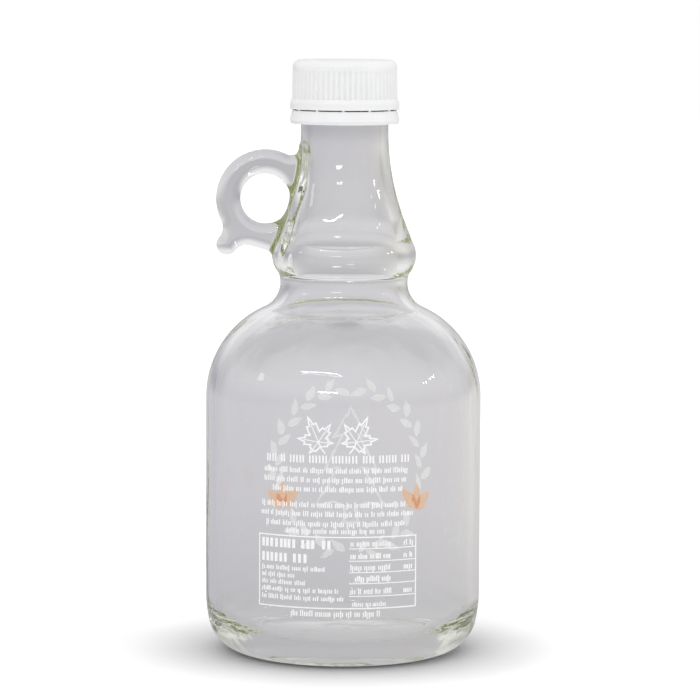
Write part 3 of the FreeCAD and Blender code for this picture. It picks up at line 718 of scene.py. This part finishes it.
class Sheet:
    """Flat shapes, across and up in mm, that are laid round the jug's body as one layer of ink."""

    def __init__(self):
        self.points = []
        self.faces = []

    def quad(self, corners):
        first = len(self.points)
        self.points += corners
        self.faces.append(tuple(range(first, first + 4)))

    def strip(self, left, right):
        """Quads between two rows of points."""
        for a, b, c, d in zip(left, left[1:], right[1:], right):
            self.quad([a, b, c, d])

    def bar(self, u0, v0, u1, v1):
        """An upright rectangle, cut across often enough to bend round the body."""
        count = max(1, math.ceil((u1 - u0) / INK_STEP))
        cuts = [u0 + (u1 - u0) * n / count for n in range(count + 1)]
        self.strip([(u, v0) for u in cuts], [(u, v1) for u in cuts])

    def frame(self, u0, v0, u1, v1, width):
        """An upright box of four bars."""
        for low, high in ((v0, v0 + width), (v1 - width, v1)):
            self.bar(u0, low, u1, high)
        for low, high in ((u0, u0 + width), (u1 - width, u1)):
            self.bar(low, v0 + width, high, v1 - width)

    def stroke(self, path, width, closed=False):
        """A line of even width along the path, with mitred corners."""
        path = subdivided(path, closed)
        count = len(path)
        left, right = [], []
        for n, point in enumerate(path):
            before = path[n - 1] if n or closed else point
            after = path[(n + 1) % count] if n + 1 < count or closed else point
            ahead = unit(after[0] - point[0], after[1] - point[1])
            behind = unit(point[0] - before[0], point[1] - before[1])
            ahead = ahead or behind
            behind = behind or ahead
            side = unit(-ahead[1] - behind[1], ahead[0] + behind[0]) or (-ahead[1], ahead[0])
            spread = max(MITRE_LIMIT, side[0] * -ahead[1] + side[1] * ahead[0])
            reach = width / 2 / spread
            left.append((point[0] + side[0] * reach, point[1] + side[1] * reach))
            right.append((point[0] - side[0] * reach, point[1] - side[1] * reach))
        if closed:
            left.append(left[0])
            right.append(right[0])
        self.strip(right, left)

    def fill(self, outline):
        """A filled shape that can be seen whole from its own middle."""
        outline = subdivided(outline, True)
        count = len(outline)
        middle = (sum(p[0] for p in outline) / count, sum(p[1] for p in outline) / count)
        halfway = [((p[0] + middle[0]) / 2, (p[1] + middle[1]) / 2) for p in outline]
        self.strip(outline + outline[:1], halfway + halfway[:1])
        first = len(self.points)
        self.points += halfway + [middle]
        for n in range(count):
            self.faces.append((first + n, first + (n + 1) % count, first + count))

    def outward(self, face):
        """The face's corners in the order that makes it look away from the jug."""
        ring = [self.points[n] for n in face]
        area = sum(a[0] * b[1] - b[0] * a[1] for a, b in zip(ring, ring[1:] + ring[:1]))
        return face if area > 0 else face[::-1]

    def piece(self, name, turn, material, slot):
        """The shapes as one mesh round the body. turn is where its middle lies, from the front."""
        mesh = bpy.data.meshes.new(name)
        places = []
        for u, v in self.points:
            angle = math.radians(turn) + u / INK_R
            places.append((INK_R * MM * math.sin(angle), -INK_R * MM * math.cos(angle), v * MM))
        mesh.from_pydata(places, [], [self.outward(face) for face in self.faces])
        mesh.update()
        mesh.shade_smooth()
        mesh.materials.append(material)
        piece = bpy.data.objects.new(name, mesh)
        bpy.context.scene.collection.objects.link(piece)
        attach(piece, "root")


def unit(x, y):
    length = math.hypot(x, y)
    return (x / length, y / length) if length > TINY else None


def subdivided(path, closed):
    """The path with points added so that no step is longer than INK_STEP."""
    out = []
    ends = list(zip(path, path[1:] + path[:1])) if closed else list(zip(path, path[1:]))
    for a, b in ends:
        count = max(1, math.ceil(math.dist(a, b) / INK_STEP))
        out += [(a[0] + (b[0] - a[0]) * n / count, a[1] + (b[1] - a[1]) * n / count) for n in range(count)]
    return out if closed else out + [path[-1]]


def placed(path, at, scale, turn):
    """The path, turned in degrees, scaled and moved."""
    c, s = math.cos(math.radians(turn)), math.sin(math.radians(turn))
    return [(at[0] + scale * (c * x - s * y), at[1] + scale * (s * x + c * y)) for x, y in path]


# A lobed leaf, one unit tall: the turn and reach of each lobe from its middle, and the points of a
# lobe's edge, as a turn that narrows with the reach and a share of the reach.
LEAF_MIDDLE = (0, 0.22)
LOBES = [(-118, 0.46), (-58, 0.68), (0, 0.86), (58, 0.68), (118, 0.46)]
LOBE_EDGE = ((-17, 0.70), (-8, 0.66), (0, 1.0), (8, 0.66), (17, 0.70))
LOBE_NARROWS = 0.86
NOTCH_SHARE = 0.40
NOTCH_OUT = 0.03
VEIN_SHARE = 0.72
LEAF_FOOT = (0.035, 0.05)
STALK = [LEAF_MIDDLE, (0.0, 0.0), (0.05, -0.2)]

# A plain pointed leaf, one unit long.
SIMPLE_STEPS = 9


def lobed_leaf():
    """Outline and veins of a generic five-lobed leaf, one unit tall, from its foot at the origin."""

    def spot(turn, reach):
        angle = math.radians(90 - turn)
        return (LEAF_MIDDLE[0] + reach * math.cos(angle), LEAF_MIDDLE[1] + reach * math.sin(angle))

    outline = [(-LEAF_FOOT[0], LEAF_FOOT[1])]
    for n, (turn, reach) in enumerate(LOBES):
        for side, share in LOBE_EDGE:
            outline.append(spot(turn + side * LOBE_NARROWS / reach ** 0.5, reach * share))
        if n + 1 < len(LOBES):
            after, after_reach = LOBES[n + 1]
            outline.append(spot((turn + after) / 2, NOTCH_SHARE * (reach + after_reach) / 2 + NOTCH_OUT))
    outline.append(LEAF_FOOT)
    return outline, [[LEAF_MIDDLE, spot(turn, reach * VEIN_SHARE)] for turn, reach in LOBES]


def simple_leaf(width):
    """Outline of a plain pointed oval leaf, one unit long, from its foot at the origin."""
    edge = []
    for n in range(SIMPLE_STEPS + 1):
        share = n / SIMPLE_STEPS
        edge.append((width / 2 * math.sin(math.pi * share ** 0.85) ** 0.9, share))
    return edge + [(-x, y) for x, y in reversed(edge[1:-1])]


# A word's count of ticks, how often a tick is taller or hangs lower, how far a tick's pitch strays, and
# the gap after a word and the room that a word needs, both in pitches.
WORD_TICKS = (2, 8)
TALL_OFTEN = 0.3
LOW_OFTEN = 0.12
PITCH_STRAY = (0.85, 1.2)
WORD_GAP = 1.1
WORD_ROOM = 2


def dummy_words(sheet, row, left, right, height, ink, pitch, taller=0.35):
    """A row of word-long runs of upright ticks, where the real thing has a line of text.

    Ticks are ink wide and a pitch apart. taller is the share of their height that some stand proud by.
    """
    u = left
    while u < right - pitch * WORD_ROOM:
        for _ in range(random_source.randint(*WORD_TICKS)):
            if u + ink > right:
                return
            top = row + height * (1 + taller * (random_source.random() < TALL_OFTEN))
            foot = row - height * taller * (random_source.random() < LOW_OFTEN)
            sheet.bar(u, foot, u + ink, top)
            u += pitch * random_source.uniform(*PITCH_STRAY)
        u += pitch * WORD_GAP


FRONT_TURN = -1.3
# The two leaves over the text: where they stand, how they lean, which way they are made, and how tall.
FRONT_LEAVES = (((-5.6, 68.9), 24, 1), ((4.2, 68.9), -24, -1))
FRONT_LEAF_TALL = 9.6
OUTLINE_INK = 0.46
VEIN_INK = 0.26
STALK_INK = 0.42
# The text's rows: height of the row's foot, left end, right end. Ticks: their height, width and pitch.
FINE = 0.36
TITLE_ROW = (64.4, -23.3, 21.9)
TITLE_TICKS = (2.3, 0.5, 0.98)
TEXT_ROWS = ((61.3, -24.2, 22.3), (58.4, -24.2, 22.6), (55.6, -21.2, 19.6), (50.8, -25.0, 22.4),
             (48.0, -25.3, 23.8), (45.0, -23.5, 20.6), (42.8, -16.8, 14.4))
TEXT_TICKS = (1.25, FINE, 0.58)
BOX = (-26.2, 19.8, 24.6, 42.0)
BOX_INK = 0.4
HEADING_ROWS = ((38.1, -25.0, 0.4), (33.7, -25.0, -9.6))
HEADING_TICKS = (2.7, 0.95, 1.45)
NOTE_ROWS = ((31.2, -25.0, -2.6), (29.0, -25.0, -13.4), (26.8, -25.0, -9.6), (24.6, -25.0, 1.4),
             (22.2, -25.0, 1.6))
NOTE_TICKS = (1.1, FINE, 0.56)
# The table in the box: the heights of its rules, the ends and thickness of a rule, and how far over the
# rule its row stands. Odd rows are printed heavier, and one row is set in and has no second column.
RULES = (38.2, 34.4, 30.9, 27.5, 23.6)
RULE_ENDS = (3.0, 24.2)
RULE_INK = 0.28
ROW_OVER_RULE = 0.8
FIRST_COLUMN = (3.4, 16.2)
SECOND_COLUMN = (20.2, 23.6)
CELL_HEIGHT = 1.3
FIRST_PITCH = 0.58
SECOND_PITCH = 0.6
ODD_HEAVIER = 0.06
SECOND_HEAVIER = 0.05
SET_IN_ROW = 3
SET_IN = 1.4
TABLE_NOTE_ROW = (20.6, 4.0, 15.0)
TABLE_NOTE_TICKS = (1.1, FINE, 0.58)
LAST_ROW = (17.4, -15.0, 13.0)
LAST_TICKS = (1.4, FINE, 0.6)


def front_print(material):
    """Two lobed leaves over rows of ticks, and a box with a ruled table."""
    sheet = Sheet()
    outline, veins = lobed_leaf()
    lines = [(outline, True, OUTLINE_INK), *[(vein, False, VEIN_INK) for vein in veins],
             (STALK, False, STALK_INK)]
    for at, turn, flip in FRONT_LEAVES:
        for path, closed, width in lines:
            path = placed([(flip * x, y) for x, y in path], at, FRONT_LEAF_TALL, turn)
            sheet.stroke(path, width, closed)
    dummy_words(sheet, *TITLE_ROW, *TITLE_TICKS, taller=0.0)
    for row in TEXT_ROWS:
        dummy_words(sheet, *row, *TEXT_TICKS)
    sheet.frame(*BOX, BOX_INK)
    for row in HEADING_ROWS:
        dummy_words(sheet, *row, *HEADING_TICKS, taller=0.0)
    for row in NOTE_ROWS:
        dummy_words(sheet, *row, *NOTE_TICKS)
    for n, rule in enumerate(RULES):
        row = rule + ROW_OVER_RULE
        sheet.bar(RULE_ENDS[0], rule, RULE_ENDS[1], rule + RULE_INK)
        dummy_words(sheet, row, FIRST_COLUMN[0] + SET_IN * (n == SET_IN_ROW), FIRST_COLUMN[1],
                    CELL_HEIGHT, FINE + ODD_HEAVIER * (n % 2), FIRST_PITCH)
        if n != SET_IN_ROW:
            dummy_words(sheet, row, *SECOND_COLUMN, CELL_HEIGHT, FINE + SECOND_HEAVIER, SECOND_PITCH)
    dummy_words(sheet, *TABLE_NOTE_ROW, *TABLE_NOTE_TICKS)
    dummy_words(sheet, *LAST_ROW, *LAST_TICKS)
    sheet.piece("print_front", FRONT_TURN, material, "print_white")


BACK_TURN = 176.6
RING_MIDDLE = (0.0, 51.0)
RING_R = 27.0
# The wreath's leaves, round the ring from its top: it is open at the top and round each orange spray.
WREATH_PLACES = 48
WREATH_OPEN = 9
WREATH_LEAF_WIDE = 0.44
WREATH_LEAF_LONG = 5.8
WREATH_LEAN = 35
SPRAY_TURNS = (116, 244)
SPRAY_GAP = 12
SPRAY_LEANS = (-42, 0, 42)
SPRAY_LEAF_WIDE = 0.46
SPRAY_LEAF_LONG = 8.6
# The fir, one unit tall: its tip, then how far each tier reaches out and at what height, then its trunk.
FIR_TIERS = ((0.15, 0.74), (0.23, 0.46), (0.31, 0.16))
FIR_TUCK = 0.02
FIR_TRUNK = [(0.05, 0.14), (0.05, 0.0)]
FIR_FOOT = (0.0, 33.5)
FIR_TALL = 38.0
FIR_INK = 0.75


def back_print(material):
    """A wreath of plain leaves round the outline of a fir."""
    sheet = Sheet()
    leaf = simple_leaf(WREATH_LEAF_WIDE)
    for n in range(WREATH_PLACES):
        turn = 360 * (n + 0.5) / WREATH_PLACES
        at_spray = any(abs((turn - spray + 180) % 360 - 180) < SPRAY_GAP for spray in SPRAY_TURNS)
        if at_spray or min(turn, 360 - turn) < WREATH_OPEN:
            continue
        spot = polar(RING_MIDDLE, RING_R, 90 - turn)
        sense = 1 if turn < 180 else -1
        lean = WREATH_LEAN if n % 2 else -WREATH_LEAN
        sheet.fill(placed(leaf, spot, WREATH_LEAF_LONG, -turn + sense * 90 + lean))
    fir = [(0, 1.0)]
    for reach, foot in FIR_TIERS:
        fir += [(reach, foot), (reach * 0.5, foot + FIR_TUCK)]
    fir += FIR_TRUNK
    fir += [(-x, y) for x, y in reversed(fir[1:])]
    sheet.stroke(placed(fir, FIR_FOOT, FIR_TALL, 0), FIR_INK, closed=True)
    sheet.piece("print_back", BACK_TURN, material, "print_white")


def back_leaves(material):
    """A spray of three plain leaves on each side of the wreath."""
    sheet = Sheet()
    leaf = simple_leaf(SPRAY_LEAF_WIDE)
    for turn in SPRAY_TURNS:
        spot = polar(RING_MIDDLE, RING_R, 90 - turn)
        for lean in SPRAY_LEANS:
            sheet.fill(placed(leaf, spot, SPRAY_LEAF_LONG, lean))
    sheet.piece("print_back_leaves", BACK_TURN, material, "print_orange")


# ---------------------------------------------------------------- floor, light and camera

# What glass and gloss see of the studio, by how far to the side a ray goes: from -X, cool, to +X, warm.
STUDIO = [(0.0, (0.54, 0.53, 0.58)), (0.22, (0.56, 0.55, 0.60)), (0.42, (0.62, 0.61, 0.655)),
          (0.56, (0.67, 0.655, 0.685)), (0.76, (0.79, 0.775, 0.755)), (1.0, (0.59, 0.58, 0.57))]
# A long soft light round the studio, by height from 0, straight down, to 1, straight up.
BAND = [(0.52, grey(0)), (0.66, grey(1)), (0.80, grey(0))]
BAND_LIGHT = (0.88, 0.88, 0.91)
# The studio's tone goes from this share of STUDIO at the horizon to CEILING at CEILING_HEIGHT.
HORIZON = (0.74, 0.74, 0.75)
HORIZON_HEIGHT = -0.02
CEILING = (1.05, 1.05, 1.06)
CEILING_HEIGHT = 0.85
# The plain light on matt surfaces, and what is left of it once it has come through the glass.
WORLD_LIGHT = 0.92
SHADE_LIGHT = 0.05

FLOOR_HALF = 4.0
FLOOR_CELLS = 16
FLOOR_TONES = [(0.3, (0.88, 0.88, 0.885)), (0.7, (0.91, 0.91, 0.915))]
# The studio's side-to-side tones run into one another on the floor this near to the jug, in metres.
FLOOR_BLUR = 0.25
# How bright glass sees the floor, by distance over FLOOR_HALF. It is dimmer under the jug, which is
# painted shade, and dimmer far behind it, where it meets the horizon's tone.
FLOOR_FADE_AND_PAINTED_SHADE = [(0.0075, grey(0.76)), (0.03, grey(0.85)), (0.08, grey(0.94)), (0.2, grey(1.0)),
               (0.35, grey(0.90)), (0.55, grey(0.80)), (0.9, HORIZON)]
# How much of its own light the floor shows the camera, by metres from the jug's axis. Next to the jug it
# shows almost none, which paints a shadow round the jug's foot on top of the real one; further out it
# shows more, so that the floor reads as white.
FLOOR_GLOW_AND_PAINTED_SHADOW = [(0.042, grey(0.01)), (0.067, grey(0.24)), (0.10, grey(0.32)), (0.45, grey(0.45))]


def side_share(tree, place, blur):
    """How far a place lies from -X to +X, 0 to 1, as seen from the middle. blur evens out what is near."""
    across = add(tree, "ShaderNodeSeparateXYZ", {"Vector": place}).outputs["X"]
    away = math_node(tree, "ADD", length_of(tree, place), blur)
    return map_range(tree, math_node(tree, "DIVIDE", across, away), -1.0, 1.0)


def by_ray(tree, for_light, for_glass, for_camera, glow="ShaderNodeEmission"):
    """Chooses what a ray meets: glossy and transmission rays see the studio, the camera sees white.

    A ray that left a matt surface meets the plain light, and less of it where it came through the glass.
    A ray that went through the ink counts as matt too. glow is the kind of node for the dimmed light.
    """
    rays = add(tree, "ShaderNodeLightPath")
    seen = math_node(tree, "MAXIMUM", rays.outputs["Is Glossy Ray"], rays.outputs["Is Transmission Ray"])
    clear = math_node(tree, "SUBTRACT", seen, rays.outputs["Is Diffuse Ray"])
    clear = math_node(tree, "MAXIMUM", clear, 0.0)
    shaded = math_node(tree, "GREATER_THAN", rays.outputs["Diffuse Depth"], 0.5)
    through = mixed(tree, shaded, for_glass, emission(tree, WHITE, SHADE_LIGHT, glow))
    other = mixed(tree, clear, for_light, through)
    return mixed(tree, rays.outputs["Is Camera Ray"], other, for_camera)


def floor_material():
    """A pale floor that the camera sees as white, away from the shadow of what stands on it. That shadow
    is partly real and partly painted, by the floor's own glow fading out near the jug.
    """
    material, tree = new_material("pale_floor")
    place = object_place(tree)
    colour = ramp(tree, noise(tree, place, Scale=40.0, Detail=3.0), FLOOR_TONES)
    matt = add(tree, "ShaderNodeBsdfDiffuse", {"Color": colour}).outputs[0]
    away = length_of(tree, place)
    # The camera sees the matt floor plus its own glow. The glow fades out near the jug's axis, as a
    # painted shadow.
    lit = add(tree, "ShaderNodeAddShader")
    tree.links.new(matt, lit.inputs[0])
    tree.links.new(emission(tree, ramp(tree, away, FLOOR_GLOW_AND_PAINTED_SHADOW)), lit.inputs[1])
    studio = ramp(tree, side_share(tree, place, FLOOR_BLUR), STUDIO)
    # Painted shade: the floor that glass sees is dimmer right under the jug, and it fades towards the
    # horizon far behind.
    painted_shade_and_fade = ramp(tree, math_node(tree, "MULTIPLY", away, 1 / FLOOR_HALF), FLOOR_FADE_AND_PAINTED_SHADE)
    pale = emission(tree, blend(tree, 1.0, studio, painted_shade_and_fade, "MULTIPLY"))
    add(tree, "ShaderNodeOutputMaterial", {"Surface": by_ray(tree, matt, pale, lit.outputs[0])})
    return material


def make_floor():
    mesh = bpy.data.meshes.new("floor")
    step = 2 * FLOOR_HALF / FLOOR_CELLS
    row = FLOOR_CELLS + 1
    ticks = [-FLOOR_HALF + step * n for n in range(row)]
    faces = [(j * row + i, j * row + i + 1, (j + 1) * row + i + 1, (j + 1) * row + i)
             for j in range(FLOOR_CELLS) for i in range(FLOOR_CELLS)]
    mesh.from_pydata([(x, y, 0) for y in ticks for x in ticks], [], faces)
    mesh.materials.append(floor_material())
    floor = bpy.data.objects.new("floor", mesh)
    bpy.context.scene.collection.objects.link(floor)


def make_world():
    """White to the camera. To glass and gloss it is the studio: pale, cooler left, warmer right."""
    world = bpy.data.worlds.new("studio")
    bpy.context.scene.world = world
    world.use_nodes = True
    tree = world.node_tree
    tree.nodes.clear()
    direction = add(tree, "ShaderNodeTexCoord").outputs["Generated"]
    studio = ramp(tree, side_share(tree, direction, 0.0), STUDIO)
    height = add(tree, "ShaderNodeSeparateXYZ", {"Vector": direction}).outputs["Z"]
    lift = map_range(tree, height, HORIZON_HEIGHT, CEILING_HEIGHT, interpolation_type="SMOOTHSTEP")
    tone = blend(tree, lift, blend(tree, 1.0, studio, HORIZON, "MULTIPLY"), CEILING)
    band = ramp(tree, map_range(tree, height, -1.0, 1.0), BAND)
    seen = blend(tree, band, tone, BAND_LIGHT)
    background = "ShaderNodeBackground"
    surface = by_ray(tree, emission(tree, WHITE, WORLD_LIGHT, background),
                     emission(tree, seen, 1.0, background),
                     emission(tree, WHITE, 1.0, background), background)
    add(tree, "ShaderNodeOutputWorld", {"Surface": surface})


LIGHT_MIDDLE = Vector((0, 0, 0.09))


class Lamp(NamedTuple):
    """A rectangular lamp of even brightness that faces the jug's middle.

    turn is in degrees from the front towards +X and rise in degrees upwards. The rest is in metres.
    """

    name: str
    turn: float
    rise: float
    distance: float
    width: float
    height: float
    radiance: float
    colour: tuple = (1, 1, 1)
    in_gloss: bool = True
    in_glass: bool = True


LAMPS = (
    Lamp("strip_high", turn=-23, rise=36.8, distance=1.1, width=0.66, height=0.012, radiance=42.0),
    Lamp("strip_low", turn=-13, rise=15.0, distance=1.25, width=0.34, height=0.035, radiance=11.0),
    Lamp("window_left", turn=-76.8, rise=21.3, distance=1.2, width=0.13, height=0.15, radiance=3.0,
         colour=(0.96, 0.98, 1.0), in_glass=False),
    Lamp("lamp_right_high", turn=84.5, rise=19.8, distance=1.2, width=0.05, height=0.05, radiance=45.0,
         colour=(1, 1, 0.98)),
    Lamp("lamp_right_low", turn=74.8, rise=17.4, distance=1.2, width=0.04, height=0.04, radiance=45.0,
         colour=(1, 1, 0.98)),
    Lamp("fill_right", turn=58, rise=22, distance=1.6, width=0.6, height=0.6, radiance=1.5,
         in_gloss=False, in_glass=False),
)


def make_lights():
    for lamp in LAMPS:
        turn, rise = math.radians(lamp.turn), math.radians(lamp.rise)
        way = Vector((math.sin(turn) * math.cos(rise), -math.cos(turn) * math.cos(rise), math.sin(rise)))
        place = LIGHT_MIDDLE + lamp.distance * way
        light = bpy.data.lights.new(lamp.name, "AREA")
        light.shape = "RECTANGLE"
        light.size = lamp.width
        light.size_y = lamp.height
        light.color = lamp.colour
        light.energy = lamp.radiance * math.pi * lamp.width * lamp.height
        holder = bpy.data.objects.new(lamp.name, light)
        holder.location = place
        holder.rotation_euler = (LIGHT_MIDDLE - place).to_track_quat("-Z", "Y").to_euler()
        holder.visible_glossy = lamp.in_gloss
        holder.visible_transmission = lamp.in_glass
        bpy.context.scene.collection.objects.link(holder)


CAMERA_DISTANCE = 1.135
CAMERA_TILT = 6.0
CAMERA_ROLL = 0.28
CAMERA_TARGET = (0.00200, 0.0, 0.09435)
LENS = 186.64
SENSOR = 36.0
CLIP_START = 0.05


def make_camera():
    data = bpy.data.cameras.new("camera")
    data.sensor_width = SENSOR
    data.lens = LENS
    data.clip_start = CLIP_START
    camera = bpy.data.objects.new("camera", data)
    tilt = math.radians(CAMERA_TILT)
    place = Vector(CAMERA_TARGET) + CAMERA_DISTANCE * Vector((0, -math.cos(tilt), math.sin(tilt)))
    aim = (Vector(CAMERA_TARGET) - place).to_track_quat("-Z", "Y").to_matrix()
    roll = Matrix.Rotation(math.radians(CAMERA_ROLL), 3, "Z")
    camera.matrix_world = Matrix.Translation(place) @ (aim @ roll).to_4x4()
    bpy.context.scene.collection.objects.link(camera)
    bpy.context.scene.camera = camera


# ---------------------------------------------------------------- the scene

# Light is caught inside the loop's root and the heel for many turns before it comes out again.
GLASS_BOUNCES = 160
bpy.context.scene.cycles.max_bounces = GLASS_BOUNCES
bpy.context.scene.cycles.transmission_bounces = GLASS_BOUNCES
bpy.context.scene.cycles.glossy_bounces = GLASS_BOUNCES

make_glass(glass_material())
white_ink = ink_material("white_ink", *WHITE_INK)
orange_ink = ink_material("orange_ink", *ORANGE_INK)
front_print(white_ink)
back_print(white_ink)
back_leaves(orange_ink)
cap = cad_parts["cap"]
cap.data.materials[0] = plastic_material()

make_floor()
make_world()
make_lights()
make_camera()
bpy.context.scene.view_settings.view_transform = "Standard"
